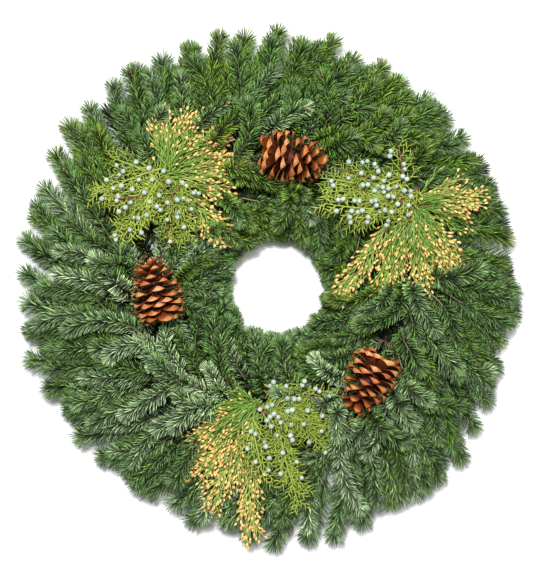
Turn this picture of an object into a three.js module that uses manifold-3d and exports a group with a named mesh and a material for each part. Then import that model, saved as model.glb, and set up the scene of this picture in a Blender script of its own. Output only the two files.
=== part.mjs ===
// A fresh evergreen wreath, lying face up: bunches of noble fir held in a wire clamp ring, with three
// clusters of incense cedar and berried juniper in the same clamps, and three pine cones wired on top.
// Millimetres, +Z up. The origin is on the surface it lies on, under the middle of its outline.
import * as THREE from "three";
import { mergeVertices } from "three/addons/utils/BufferGeometryUtils.js";
import Module from "manifold-3d";

const wasm = await Module();
wasm.setup();
const { lerp, smoothstep, degToRad } = THREE.MathUtils;

// Driving dimensions.
const RIM_RADIUS = 328; // mean reach of the rim tips
const HOLE_RADIUS = 57; // to the needle tips round the opening
const RING_RADIUS = 165; // middle of the clamp ring
const RING_SHIFT = 10.5; // the ring sits this far off the middle of the outline, along +X
const BUNCHES = 18; // one for each clamp
const FIRST_CLAMP = degToRad(10);
const CROWN_HEIGHT = 76; // of the uppermost fir twigs
const RIM_TIER_TOP = 42; // the rim shoots stay under this height
const FIR_NEEDLE = 22;
const CONE_LENGTH = 90;
const CONE_RADIUS = 33;
const BERRY_RADIUS = 3.6;
const SEAT_GAP = 0.3; // left between pieces that rest on each other

const PITCH = (2 * Math.PI) / BUNCHES;
const WELD = 1e-3;
const UP = new THREE.Vector3(0, 0, 1);

// ---- Solids ----

function solidOf(geometry) {
  const bare = new THREE.BufferGeometry();
  bare.setAttribute("position", geometry.getAttribute("position"));
  bare.setIndex(geometry.getIndex());
  const merged = mergeVertices(bare, WELD);
  const triVerts = new Uint32Array(merged.index.array);
  const vertProperties = merged.attributes.position.array;
  return new wasm.Manifold(new wasm.Mesh({ numProp: 3, vertProperties, triVerts }));
}

// Joins closed geometries into one solid and drops any loose scrap.
function fuse(geometries) {
  const whole = wasm.Manifold.union(geometries.map(solidOf));
  const bodies = whole.decompose();
  return bodies.reduce((largest, body) => (body.volume() > largest.volume() ? body : largest));
}

function meshOf(name, solid, material) {
  const { vertProperties, triVerts } = solid.getMesh();
  const geometry = new THREE.BufferGeometry();
  geometry.setAttribute("position", new THREE.BufferAttribute(vertProperties, 3));
  geometry.setIndex(new THREE.BufferAttribute(triVerts, 1));
  geometry.computeVertexNormals();
  const mesh = new THREE.Mesh(geometry, material);
  mesh.name = name;
  return mesh;
}

// ---- Helpers ----

// A repeatable number from -1 to 1 for a piece's number and a purpose.
function vary(number, purpose) {
  const wave = Math.sin(number * 12.9898 + purpose * 78.233) * 43758.5453;
  return 2 * (wave - Math.floor(wave)) - 1;
}

function polar(radius, angle, z) {
  return new THREE.Vector3(radius * Math.cos(angle), radius * Math.sin(angle), z);
}

function roundSection(radius, sides) {
  const corners = [];
  for (let i = 0; i < sides; i++) {
    const turn = (2 * Math.PI * (i + 0.5)) / sides;
    corners.push(new THREE.Vector2(radius * Math.cos(turn), radius * Math.sin(turn)));
  }
  return new THREE.Shape(corners);
}

// A smooth curve whose even shares fall on the points it is drawn through.
class Course extends THREE.CatmullRomCurve3 {
  getPointAt(share) {
    return this.getPoint(share);
  }

  getTangentAt(share) {
    return this.getTangent(share);
  }
}

function rod(points, radius, sides) {
  const extrudePath = new Course(points);
  const steps = points.length - 1;
  return new THREE.ExtrudeGeometry(roundSection(radius, sides), { extrudePath, steps });
}

// Turns a function of a share into one that covers the same points at an even speed.
function evenly(pointAt, first, last) {
  const samples = [];
  for (let i = 0; i <= 24; i++) samples.push(pointAt(lerp(first, last, i / 24)));
  const curve = new THREE.CatmullRomCurve3(samples);
  return (share) => curve.getPointAt(THREE.MathUtils.clamp(share, 0, 1));
}

// ---- Surfaces with things raised from them ----

// A closed surface under construction. Whatever stands on it is raised from one of its four-cornered
// faces, given as corner numbers that run counter-clockwise seen from outside.
class RaisedSurface {
  constructor() {
    this.points = [];
    this.triangles = [];
  }

  add(point) {
    return this.points.push(point) - 1;
  }

  flat([a, b, c, d]) {
    this.triangles.push(a, b, c, a, c, d);
  }

  spike(corners, tip) {
    const point = this.add(tip);
    corners.forEach((from, i) => this.triangles.push(from, corners[(i + 1) % corners.length], point));
  }

  wall(lower, upper) {
    lower.forEach((from, i) => {
      const next = (i + 1) % lower.length;
      this.flat([from, lower[next], upper[next], upper[i]]);
    });
  }

  middle(corners) {
    const sum = corners.reduce((total, i) => total.add(this.points[i]), new THREE.Vector3());
    return sum.divideScalar(corners.length);
  }

  // Four new corners over the given ones, square to the axis through a centre; turned by part of a side.
  square(corners, centre, axis, size, turned = 0) {
    const from = this.middle(corners);
    const spokes = corners.map((i) => this.points[i].clone().sub(from).projectOnPlane(axis).normalize());
    return spokes.map((spoke, i) => {
      const away = spoke.clone().lerp(spokes[(i + 1) % spokes.length], turned).setLength(size);
      return this.add(away.add(centre));
    });
  }

  berry(corners, axis, radius) {
    const foot = this.middle(corners);
    const along = (distance) => foot.clone().addScaledVector(axis, distance);
    const low = this.square(corners, along(radius * 0.75), axis, radius);
    const high = this.square(corners, along(radius * 1.6), axis, radius * 0.86, 0.5);
    this.wall(corners, low);
    this.wall(low, high);
    this.flat(high);
  }

  // A stalk that swells into a small pointed bud.
  bud(corners, tip, length, radius) {
    const axis = tip.clone().sub(this.middle(corners)).normalize();
    const back = (distance) => tip.clone().addScaledVector(axis, -distance);
    const belly = this.square(corners, back(length * 0.5), axis, radius);
    this.wall(corners, belly);
    this.spike(belly, tip);
  }

  geometry() {
    return new THREE.BufferGeometry().setFromPoints(this.points).setIndex(this.triangles);
  }
}

// ---- Leafy shoots ----

// The three sides of a twig: a right, an upper and a left one, as angles round it from its right.
const TWIG_CORNERS = [-90, 30, 150].map(degToRad);

function outwards({ right, up }, angle) {
  return right.clone().multiplyScalar(Math.cos(angle)).addScaledVector(up, Math.sin(angle));
}

function frameAt(path, share) {
  const step = 0.01;
  const centre = path(share);
  const forward = path(share + step).sub(path(share - step)).normalize();
  const right = new THREE.Vector3().crossVectors(forward, UP).normalize();
  const up = new THREE.Vector3().crossVectors(right, forward);
  return { centre, forward, right, up };
}

const asBuilt = (point) => point;
const needleOnly = (surface, corners, tip) => surface.spike(corners, tip);

// A three-sided twig along a path, with a needle raised from each of its sides at each station. The path
// takes a share from 0 to 1. bendClear moves a needle's point away from a neighbour. sprout may raise
// something else from a side.
function shoot(path, form, bendClear = asBuilt, sprout = needleOnly) {
  const { twig, stations, bareShare, knees = [], needle, sweep, lift, seed } = form;
  const surface = new RaisedSurface();
  const ringAt = (share) => {
    const frame = frameAt(path, share);
    const radius = lerp(twig[0], twig[1], share);
    const corner = (angle) => outwards(frame, angle).multiplyScalar(radius).add(frame.centre);
    return { frame, corners: TWIG_CORNERS.map((angle) => surface.add(corner(angle))) };
  };
  const first = ringAt(0);
  let last = first;
  const growTo = (share, cover) => {
    const ring = ringAt(share);
    ring.corners.forEach((corner, side) => {
      const next = (side + 1) % 3;
      cover([last.corners[side], corner, ring.corners[next], last.corners[next]], side);
    });
    last = ring;
  };
  [...knees, bareShare].forEach((share) => growTo(share, (face) => surface.flat(face)));
  for (let station = 0; station < stations; station++) {
    const done = station / stations;
    const frame = frameAt(path, lerp(bareShare, 1, done + 0.5 / stations));
    const rise = lift * (station % 2 ? -0.6 : 1);
    const angles = [rise, Math.PI / 2 + 0.3 * vary(seed, station), Math.PI - rise];
    growTo(lerp(bareShare, 1, (station + 1) / stations), (face, side) => {
      const reach = needle[side] * lerp(1, 0.76, done) * (1 + 0.12 * vary(seed + side, station));
      const out = outwards(frame, angles[side]);
      const lean = out.clone().multiplyScalar(Math.sin(sweep)).addScaledVector(frame.forward, Math.cos(sweep));
      const tip = bendClear(frame.centre.clone().addScaledVector(lean, reach));
      sprout(surface, face, tip, { side, station, out });
    });
  }
  const end = last.frame.centre.clone().addScaledVector(last.frame.forward, form.point);
  surface.triangles.push(first.corners[0], first.corners[1], first.corners[2]);
  surface.spike([...last.corners].reverse(), bendClear(end));
  return surface.geometry();
}

// ---- Tiers of fir ----

// Shoots of one tier leave the ring together and keep a spiral course, clockwise from above, so that
// neighbouring bunches lie side by side. A share of 0 is at the ring and 1 at the tier's edge.
class Tier {
  constructor({ from, to, swirl, bend }) {
    Object.assign(this, { from, to, swirl: degToRad(swirl), bend });
  }

  radius(share) {
    return this.from + (this.to - this.from) * Math.max(share, 0) ** this.bend;
  }

  point(bunch, lane, share, z) {
    const angle = clampAngle(bunch) + lane * PITCH - this.swirl * share;
    return polar(this.radius(share), angle, z);
  }

  // Moves a point of a bunch back inside the bunch's own part of the tier.
  keepIn(bunch, point, gap) {
    const radius = Math.hypot(point.x, point.y);
    const done = Math.max((radius - this.from) / (this.to - this.from), 0) ** (1 / this.bend);
    const lead = clampAngle(bunch) - this.swirl * done;
    const off = Math.atan2(point.y, point.x) - lead;
    const turn = Math.atan2(Math.sin(off), Math.cos(off));
    const most = PITCH / 2 - gap / radius;
    const kept = THREE.MathUtils.clamp(turn, -most, most);
    return polar(radius, lead + kept, point.z);
  }
}

function clampAngle(bunch) {
  return FIRST_CLAMP + bunch * PITCH;
}

const STEM_OFFSET = 6; // a bunch has an outer and an inner branch, this far either side of the ring's middle
const RIM = new Tier({ from: RING_RADIUS + STEM_OFFSET, to: RIM_RADIUS, swirl: 27, bend: 2 });
const INNER = new Tier({ from: RING_RADIUS - STEM_OFFSET, to: HOLE_RADIUS, swirl: 69, bend: 1 });

// The outline isn't quite round: how far the rim reaches in a direction.
function rimReach(angle) {
  const oval = 8 * Math.cos(2 * angle + degToRad(128));
  const lobes = 5 * Math.cos(3 * angle - degToRad(156));
  return RIM_RADIUS - RING_SHIFT * Math.cos(angle) + oval + lobes;
}

// ---- The clamp ring ----

const WIRE_RADIUS = 2;
const RAIL_OFFSET = 13; // each rail, either side of the ring's middle
const RAIL_SEGMENTS = 24;
const RAIL_TOP = 2 * WIRE_RADIUS * Math.cos(Math.PI / 6);
const CLAMP_WIRE = 3;
const CLAMP_HALF = 16.5;
const CLAMP_FLOOR = RAIL_TOP - 0.26 + CLAMP_WIRE; // the bunches lie on this
const CLAMP_TOP = 24.2;
const PRONG_GAP = 3; // each folded prong stops this far from the middle

function rail(radius) {
  const profile = [];
  for (let i = 0; i <= 6; i++) {
    const turn = (Math.PI * i) / 3;
    const height = WIRE_RADIUS * Math.sin(turn) + RAIL_TOP / 2;
    profile.push(new THREE.Vector2(radius + WIRE_RADIUS * Math.cos(turn), height));
  }
  return new THREE.LatheGeometry(profile, RAIL_SEGMENTS).rotateX(Math.PI / 2);
}

// A bent wire, open at the top between its two folded prongs.
function clamp(angle) {
  const inside = CLAMP_HALF - CLAMP_WIRE;
  const low = CLAMP_FLOOR - CLAMP_WIRE;
  const half = [
    [PRONG_GAP, CLAMP_TOP],
    [CLAMP_HALF, CLAMP_TOP],
    [CLAMP_HALF, low],
  ];
  const hollow = [
    [inside, CLAMP_FLOOR],
    [inside, CLAMP_TOP - CLAMP_WIRE],
    [PRONG_GAP, CLAMP_TOP - CLAMP_WIRE],
  ];
  const mirrored = (points) => points.map(([x, y]) => [-x, y]).reverse();
  const outline = [...half, ...mirrored(half), ...mirrored(hollow), ...[...hollow]];
  const shape = new THREE.Shape(outline.map(([x, y]) => new THREE.Vector2(x, y)));
  const wire = new THREE.ExtrudeGeometry(shape, { depth: CLAMP_WIRE, bevelEnabled: false });
  wire.translate(0, 0, -CLAMP_WIRE / 2);
  wire.rotateX(Math.PI / 2);
  wire.translate(RING_RADIUS, 0, 0);
  return wire.rotateZ(angle);
}

function clampRing() {
  const clamps = [];
  for (let bunch = 0; bunch < BUNCHES; bunch++) clamps.push(clamp(clampAngle(bunch)));
  return fuse([rail(RING_RADIUS - RAIL_OFFSET), rail(RING_RADIUS + RAIL_OFFSET), ...clamps]);
}

// ---- Cones and clusters: where they sit ----

// turn is the direction from a cone's broad end to its tip.
// Each is wired to the outer or the inner branch of a bunch.
const CONES = [
  { name: "top", x: 18, y: 165, turn: -12, tier: RIM, bunch: 4 },
  { name: "left", x: -151, y: -10, turn: 104, tier: INNER, bunch: 9 },
  { name: "right", x: 119, y: -122, turn: -119, tier: RIM, bunch: 16 },
];
const CONE_CLEARANCE = 53;
const CONE_HEIGHT = 70; // of its axis

// Each cluster's stems leave a clamp and fan out from a root. fan gives the first and last direction
// in degrees, and reach the length of a spray at the start, the middle and the end of the fan.
const CLUSTERS = [
  {
    name: "right",
    bunch: 2,
    root: [164, 110],
    juniper: { fan: [100, 226], reach: [66, 92, 62] },
    cedar: { fan: [-107, 28], reach: [126, 92, 60] },
  },
  {
    name: "left",
    bunch: 7,
    root: [-143, 138],
    juniper: { fan: [152, 306], reach: [78, 106, 106] },
    cedar: { fan: [-42, 122], reach: [102, 72, 94] },
  },
  {
    name: "bottom",
    bunch: 14,
    root: [-19, -152],
    juniper: { fan: [-80, 2], reach: [128, 122, 70] },
    cedar: { fan: [264, 150], reach: [164, 108, 52] },
  },
];
const SPRAY_CLEARANCE = 17;
const FAN_CLEARANCE = degToRad(14);

// The length of a spray at a share of the fan, from its values at the start, the middle and the end.
function fanReach([first, middle, last], share) {
  return share < 0.5 ? lerp(first, middle, 2 * share) : lerp(middle, last, 2 * share - 1);
}

function isUnderFan(x, y, { fan, reach }) {
  const [start, end] = fan.map(degToRad);
  const span = end - start;
  const middle = (start + end) / 2;
  const turn = Math.atan2(y, x) - middle;
  const off = Math.atan2(Math.sin(turn), Math.cos(turn));
  const share = THREE.MathUtils.clamp(0.5 + off / span, 0, 1);
  const outside = Math.abs(off) > Math.abs(span) / 2 + FAN_CLEARANCE;
  const distance = Math.hypot(x, y);
  return distance < SPRAY_CLEARANCE * 2.4 || (!outside && distance < fanReach(reach, share) + SPRAY_CLEARANCE);
}

// Whether a place on the crown lies under a cone or a cluster.
function isCovered({ x, y }) {
  const underCone = CONES.some((cone) => Math.hypot(x - cone.x, y - cone.y) < CONE_CLEARANCE);
  const underCluster = CLUSTERS.some(({ root, cedar, juniper }) =>
    [cedar, juniper].some((spread) => isUnderFan(x - root[0], y - root[1], spread)),
  );
  return underCone || underCluster;
}

// ---- Fir branches ----

const STEM_RADIUS = 4;
const STEM_HEIGHT = CLAMP_FLOOR + STEM_RADIUS - 0.05; // the tapering stems clear the clamps by SEAT_GAP or so
const CUT_END = degToRad(8); // the stem passes its clamp by this much
const WALL_GAP = 0.5; // between the needles of neighbouring bunches
const SIDE_LANES = [-0.32, 0.32];
const FIR = { twig: [2.4, 1.3], sweep: degToRad(43), lift: 0.3, point: 14 };
const CROWN_LANE = 0.16;
const CROWN_REACH = 0.8; // the share of the rim tier that crown shoots run over
const LEAST_CROWN = 0.2; // where less than this share is free of accents, no crown shoot grows
const CLIMB = 0.13; // the share over which a crown shoot rises
const PAST_CLAMP = degToRad(4); // no crown shoot forks off nearer to its clamp

// The height of a bunch's wood along a tier.
function spineHeight(tier, bunch, share) {
  const low = tier === RIM ? 25 + 5 * vary(bunch, 2) : 27 + 3 * vary(bunch, 3);
  return lerp(STEM_HEIGHT, low, smoothstep(share, 0.08, 0.6));
}

function rimShare(bunch, lane) {
  const tipAngle = clampAngle(bunch) + lane * PITCH - RIM.swirl;
  const reach = rimReach(tipAngle) - 2 + 8 * vary(bunch * 3 + lane, 1) - FIR.point;
  return Math.sqrt((reach - RIM.from) / (RIM.to - RIM.from));
}

// A bunch's main branch, from its cut end through the clamp to its tip.
function mainShoot(tier, bunch, end, form) {
  const start = -CUT_END / tier.swirl;
  const along = (share) => tier.point(bunch, 0, share, spineHeight(tier, bunch, share));
  const path = evenly(along, start, end);
  const bendClear = (point) => {
    point.z = THREE.MathUtils.clamp(point.z, 1.5, RIM_TIER_TOP);
    return tier.keepIn(bunch, point, WALL_GAP);
  };
  return shoot(path, { ...FIR, twig: [STEM_RADIUS, 1.2], seed: bunch, ...form }, bendClear);
}

// A shoot that forks off the main branch to one side of it.
function sideShoot(bunch, lane) {
  const start = lane < 0 ? 0.2 : 0.3;
  const end = rimShare(bunch, lane);
  const along = (share) => {
    const spread = smoothstep(share, start, 0.66);
    const arch = 4 * Math.sin((Math.PI * (share - start)) / (end - start));
    return RIM.point(bunch, lane * spread, share, spineHeight(RIM, bunch, share) + arch);
  };
  const form = { ...FIR, stations: 6, bareShare: 0.27, needle: [FIR_NEEDLE, 12, FIR_NEEDLE] };
  const bendClear = (point) => {
    point.z = THREE.MathUtils.clamp(point.z, 1.5, RIM_TIER_TOP);
    return RIM.keepIn(bunch, point, WALL_GAP);
  };
  return shoot(evenly(along, start, end), { ...form, seed: bunch + 40 * (lane + 2) }, bendClear);
}

// The first and last share of a tier's longest stretch that has no accent over it.
function openStretch(tier, bunch, lane, last) {
  const step = 0.02;
  let best = [0, 0];
  let start = 0.04;
  for (let share = start; share <= last + step; share += step) {
    const free = share <= last && !isCovered(tier.point(bunch, lane, share, 0));
    if (free) continue;
    if (share - step - start > best[1] - best[0]) best = [start, share - step];
    start = share + step;
  }
  return best;
}

// A shoot that climbs from the main branch and runs over the rim tier, or nothing under an accent.
function crownShoots(tier, bunch, lane, height, last) {
  const [first, end] = openStretch(tier, bunch, lane, last);
  if (end - first < LEAST_CROWN) return [];
  const root = Math.max(first - 0.05, PAST_CLAMP / tier.swirl);
  const along = (share) => {
    const rise = smoothstep(share, root, root + CLIMB);
    const droop = 16 * smoothstep(share, (root + end) / 2, end + 0.2);
    const z = lerp(spineHeight(tier, bunch, share), height - droop, rise);
    return tier.point(bunch, lane * smoothstep(share, root, root + 0.2), share, z);
  };
  const needle = [FIR_NEEDLE - 2, 11, FIR_NEEDLE - 2];
  const form = { ...FIR, stations: 5, bareShare: 0.36, knees: [0.18], needle, seed: bunch + 60 };
  const bendClear = (point) => tier.keepIn(bunch, point, WALL_GAP);
  return [shoot(evenly(along, root, end), form, bendClear)];
}

function outerBranch(bunch) {
  const form = { stations: 6, bareShare: 0.5, knees: [0.16, 0.34], needle: [FIR_NEEDLE, 12, FIR_NEEDLE] };
  const height = CROWN_HEIGHT + 4 * vary(bunch, 4);
  const side = bunch % 2 ? CROWN_LANE : -CROWN_LANE;
  return fuse([
    mainShoot(RIM, bunch, rimShare(bunch, 0), form),
    ...SIDE_LANES.map((lane) => sideShoot(bunch, lane)),
    ...crownShoots(RIM, bunch, side, height, CROWN_REACH),
  ]);
}

function innerBranch(bunch) {
  const form = { stations: 8, bareShare: 0.26, knees: [0.12], needle: [18, 11, 18] };
  const height = CROWN_HEIGHT - 12 + 4 * vary(bunch, 5);
  return fuse([mainShoot(INNER, bunch, 0.95, form), ...crownShoots(INNER, bunch, 0, height, 0.62)]);
}

// ---- Cedar and juniper sprays ----

const SPRAY_STEM = 2.2;
const SPRAY_STEM_HEIGHT = STEM_HEIGHT + STEM_RADIUS + SEAT_GAP + SPRAY_STEM;
const SPRAY_CUT_END = degToRad(5);
const POLLEN_CONE_LENGTH = 8;
const POLLEN_CONE_RADIUS = 2.2;
const CEDAR = {
  sprays: 6,
  side: 4, // across the ring from its middle, in the clamp
  rootHeight: 55,
  tipHeight: 49,
  form: {
    twig: [2.2, 1.2],
    stations: 4,
    bareShare: 0.3,
    needle: [32, 12, 32],
    sweep: degToRad(30),
    lift: 0.06,
    point: 16,
  },
};
const JUNIPER = {
  sprays: 6,
  side: -4,
  rootHeight: 66,
  tipHeight: 60,
  form: {
    twig: [1.9, 1.1],
    stations: 4,
    bareShare: 0.3,
    needle: [22, 13, 22],
    sweep: degToRad(40),
    lift: 0.25,
    point: 12,
  },
};

function spray(kind, cluster, { fan, reach }, sprout) {
  const [x, y] = cluster.root;
  const root = new THREE.Vector3(x, y, kind.rootHeight);
  const angle = clampAngle(cluster.bunch);
  const radius = RING_RADIUS + kind.side;
  const low = [SPRAY_CUT_END, 0].map((past) => polar(radius, angle + past, SPRAY_STEM_HEIGHT));
  const climb = polar(radius, angle - degToRad(8), lerp(SPRAY_STEM_HEIGHT, kind.rootHeight, 0.55));
  const shoots = [];
  for (let i = 0; i < kind.sprays; i++) {
    const share = i / (kind.sprays - 1);
    const turn = degToRad(lerp(fan[0], fan[1], share));
    const length = fanReach(reach, share) - kind.form.point;
    const tip = polar(length, turn, kind.tipHeight - kind.rootHeight).add(root);
    const middle = polar(length / 2, turn, 5).add(root);
    const curve = new THREE.QuadraticBezierCurve3(root, middle, tip);
    const form = { ...kind.form, seed: cluster.bunch * 10 + i };
    shoots.push(shoot((t) => curve.getPoint(t), form, asBuilt, sprout));
  }
  return fuse([rod([...low, climb, root], SPRAY_STEM, 4), ...shoots]);
}

// Small pollen cones end the outer side fronds.
function cedarSpray(cluster) {
  const sprout = (surface, corners, tip, { side, station }) => {
    const bears = side !== 1 && station > 0;
    if (bears) surface.bud(corners, tip, POLLEN_CONE_LENGTH, POLLEN_CONE_RADIUS);
    else surface.spike(corners, tip);
  };
  return spray(CEDAR, cluster, cluster.cedar, sprout);
}

// Berries stand along the upper side of the twigs.
function juniperSpray(cluster) {
  const sprout = (surface, corners, tip, { side, station, out }) => {
    if (side === 1) surface.berry(corners, out, BERRY_RADIUS);
    else surface.spike(corners, tip);
  };
  return spray(JUNIPER, cluster, cluster.juniper, sprout);
}

// ---- Pine cones ----

const CONE_SIDES = 7;
const CONE_ROWS = 6;
const CONE_WIRE = 1.2;
const WIRE_BAND = 2.8; // bare of scales, for the wire round the core
const BAND_AT = 13; // where it starts
const HOOK_HEIGHT = 5.2; // of the wire's hook under a branch
const SCALE_WIDTH = 21;
const SCALE_THICKNESS = 2.8;

// The core's radius at a distance from its broad end.
function coreRadius(along) {
  const share = along / CONE_LENGTH;
  return 5 + 6 * Math.sin(Math.PI * Math.min(share + 0.22, 1)) - 1.5 * share;
}

// A pine cone along +X, with its broad end at x = 0. Its scales are raised from the core's faces.
function pineCone() {
  const surface = new RaisedSurface();
  const rowLength = (CONE_LENGTH - BAND_AT - WIRE_BAND - 10) / (CONE_ROWS - 1);
  const stops = [2.5, BAND_AT, BAND_AT + WIRE_BAND];
  for (let i = 1; i < CONE_ROWS; i++) stops.push(BAND_AT + WIRE_BAND + rowLength * i);
  const rings = stops.map((along, i) => {
    const corners = [];
    for (let j = 0; j < CONE_SIDES; j++) {
      const around = (2 * Math.PI * (j + 0.5 * i)) / CONE_SIDES;
      const radius = coreRadius(along);
      corners.push(surface.add(new THREE.Vector3(along, radius * Math.cos(around), radius * Math.sin(around))));
    }
    return corners;
  });
  rings.slice(1).forEach((ring, row) => {
    const before = rings[row];
    const isBand = row === 1;
    const share = (row - (row > 1 ? 1 : 0)) / (CONE_ROWS - 1);
    ring.forEach((corner, j) => {
      const next = (j + 1) % CONE_SIDES;
      const face = [before[j], before[next], ring[next], corner];
      if (isBand) surface.flat(face);
      else raiseScale(surface, face, share);
    });
  });
  surface.spike([...rings[0]].reverse(), new THREE.Vector3(0, 0, 0));
  surface.spike(rings[rings.length - 1], new THREE.Vector3(CONE_LENGTH, 0, 0));
  return solidOf(surface.geometry());
}

// A spade-shaped scale. It leans back at the cone's broad end and forward at its tip.
function raiseScale(surface, face, share) {
  const foot = surface.middle(face);
  const axis = new THREE.Vector3(1, 0, 0);
  const radial = foot.clone().projectOnPlane(axis).normalize();
  const lean = degToRad(lerp(-12, 64, share ** 1.4));
  const out = radial.clone().multiplyScalar(Math.cos(lean)).addScaledVector(axis, Math.sin(lean));
  const thick = axis.clone().multiplyScalar(Math.cos(lean)).addScaledVector(radial, -Math.sin(lean));
  const wide = new THREE.Vector3().crossVectors(thick, out);
  const length = (CONE_RADIUS - 10) * lerp(0.86, 1.06, Math.sin(Math.PI * Math.min(share * 1.5, 1)));
  const reach = length * (1 - 0.3 * share ** 2);
  const halfWidth = (SCALE_WIDTH * (1 - 0.52 * share)) / 2;
  const half = SCALE_THICKNESS / 2;
  const lip = [
    [1, -1],
    [-1, -1],
    [-1, 1],
    [1, 1],
  ].map(([side, face]) => {
    const corner = foot.clone().addScaledVector(out, reach * 0.7);
    corner.addScaledVector(wide, -side * halfWidth).addScaledVector(thick, face * half);
    return surface.add(corner);
  });
  surface.wall(face, lip);
  surface.spike(lip, foot.clone().addScaledVector(out, reach));
}

// ---- The wires that hold the cones ----

// A wire bent over a cone's core, whose long leg hooks under a branch. It lies in one upright plane.
function pickWire({ x, y, turn, tier, bunch }) {
  const axis = polar(1, degToRad(turn), 0);
  const across = new THREE.Vector3().crossVectors(UP, axis);
  const middle = new THREE.Vector3(x, y, 0).addScaledVector(axis, BAND_AT + WIRE_BAND / 2 - CONE_LENGTH / 2);
  const spot = (wide, z) => middle.clone().addScaledVector(across, wide).setZ(z);
  const ahead = (share) => tier.point(bunch, 0, share, 0).sub(middle).dot(axis);
  let low = -CUT_END / tier.swirl;
  let high = 0.35;
  for (let i = 0; i < 30; i++) {
    const half = (low + high) / 2;
    if (ahead(half) * ahead(high) > 0) high = half;
    else low = half;
  }
  const target = tier.point(bunch, 0, low, 0).sub(middle).dot(across);
  const bend = coreRadius(BAND_AT) + 0.75 + CONE_WIRE / 2;
  const hook = STEM_RADIUS + 2.1;
  const loop = [150, 120, 90, 60, 30].map(degToRad);
  return rod(
    [
      spot(-bend, CONE_HEIGHT - 6),
      spot(-bend, CONE_HEIGHT + 1),
      ...loop.map((angle) => spot(bend * Math.cos(angle), CONE_HEIGHT + bend * Math.sin(angle))),
      spot(bend, CONE_HEIGHT - 4),
      spot(target + hook, STEM_HEIGHT + 4),
      spot(target + hook - 1, STEM_HEIGHT - 2),
      spot(target + 2, HOOK_HEIGHT),
      spot(target - 2, HOOK_HEIGHT),
      spot(target - hook, STEM_HEIGHT - 2),
    ],
    CONE_WIRE / 2,
    4,
  );
}

// ---- Assembly ----

const materials = {
  wire: new THREE.MeshStandardMaterial({ color: 0x3f4a3c, roughness: 0.45, metalness: 0.8 }),
  fir: new THREE.MeshStandardMaterial({ color: 0x3f6b3e, roughness: 0.6, metalness: 0 }),
  cedar: new THREE.MeshStandardMaterial({ color: 0xb9a745, roughness: 0.65, metalness: 0 }),
  juniper: new THREE.MeshStandardMaterial({ color: 0x8fa63f, roughness: 0.65, metalness: 0 }),
  cone: new THREE.MeshStandardMaterial({ color: 0x8a4a21, roughness: 0.7, metalness: 0 }),
};

const wreath = new THREE.Group();
wreath.position.x = RING_SHIFT;

function place(name, solid, material) {
  wreath.add(meshOf(name, solid, material));
}

place("clamp_ring", clampRing(), materials.wire);
for (let bunch = 0; bunch < BUNCHES; bunch++) {
  const number = String(bunch + 1).padStart(2, "0");
  place(`fir_outer_${number}`, outerBranch(bunch), materials.fir);
  place(`fir_inner_${number}`, innerBranch(bunch), materials.fir);
}
for (const cluster of CLUSTERS) {
  place(`cedar_${cluster.name}`, cedarSpray(cluster), materials.cedar);
  place(`juniper_${cluster.name}`, juniperSpray(cluster), materials.juniper);
}

const coneSolid = pineCone();
for (const cone of CONES) {
  const centred = coneSolid.translate([-CONE_LENGTH / 2, 0, 0]).rotate([0, 0, cone.turn]);
  place(`pine_cone_${cone.name}`, centred.translate([cone.x, cone.y, CONE_HEIGHT]), materials.cone);
  place(`cone_wire_${cone.name}`, solidOf(pickWire(cone)), materials.wire);
}

export default wreath;
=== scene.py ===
import math

import bmesh
import bpy
import numpy as np
from mathutils import Matrix, Vector


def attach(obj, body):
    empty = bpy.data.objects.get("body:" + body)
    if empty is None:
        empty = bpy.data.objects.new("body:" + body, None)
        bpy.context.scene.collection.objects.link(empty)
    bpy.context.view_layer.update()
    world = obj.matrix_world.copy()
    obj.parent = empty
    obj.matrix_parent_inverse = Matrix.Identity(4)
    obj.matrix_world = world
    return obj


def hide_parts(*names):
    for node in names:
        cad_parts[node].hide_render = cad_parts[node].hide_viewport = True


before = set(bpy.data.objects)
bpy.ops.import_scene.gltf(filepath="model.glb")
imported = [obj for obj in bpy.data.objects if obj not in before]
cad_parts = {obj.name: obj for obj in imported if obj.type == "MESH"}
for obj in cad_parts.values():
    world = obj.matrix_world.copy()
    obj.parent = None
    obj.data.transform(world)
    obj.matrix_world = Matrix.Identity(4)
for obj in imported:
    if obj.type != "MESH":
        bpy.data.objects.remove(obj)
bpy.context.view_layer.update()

mm = 0.001

# The clamp ring and the bunches in it, in millimetres as they were laid out.
ring = {
    "radius": 165,
    "shift": 10.5,  # along X, from the middle of the outline
    "bunches": 18,
    "firstClamp": 10,  # degrees
    "stemHeight": 10.15,
    "cutEnd": 8,  # degrees that a stem passes its clamp by
}

# The two tiers of fir: where a tier starts and ends, and how far it turns clockwise on the way.
rimTier = {"from": 171, "to": 328, "swirl": 27, "bend": 2}
innerTier = {"from": 159, "to": 57, "swirl": 69, "bend": 1}
openingRadius = 67  # no twig comes nearer to the middle
coursePoints = 40  # along a twig

pitch = 2 * math.pi / ring["bunches"]


def vary(number, purpose):
    wave = math.sin(number * 12.9898 + purpose * 78.233) * 43758.5453
    return 2 * (wave - math.floor(wave)) - 1


def mix(a, b, share):
    return a + (b - a) * share


def unit(vectors):
    return vectors / np.maximum(np.linalg.norm(vectors, axis=-1, keepdims=True), 1e-9)


def clampAngle(bunch):
    return math.radians(ring["firstClamp"]) + bunch * pitch


def tierPoints(tier, bunch, lane, shares, heights):
    radius = tier["from"] + (tier["to"] - tier["from"]) * np.maximum(shares, 0) ** tier["bend"]
    angle = clampAngle(bunch) + lane * pitch - math.radians(tier["swirl"]) * shares
    return np.stack([radius * np.cos(angle), radius * np.sin(angle), heights + 0 * shares], -1)


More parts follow.
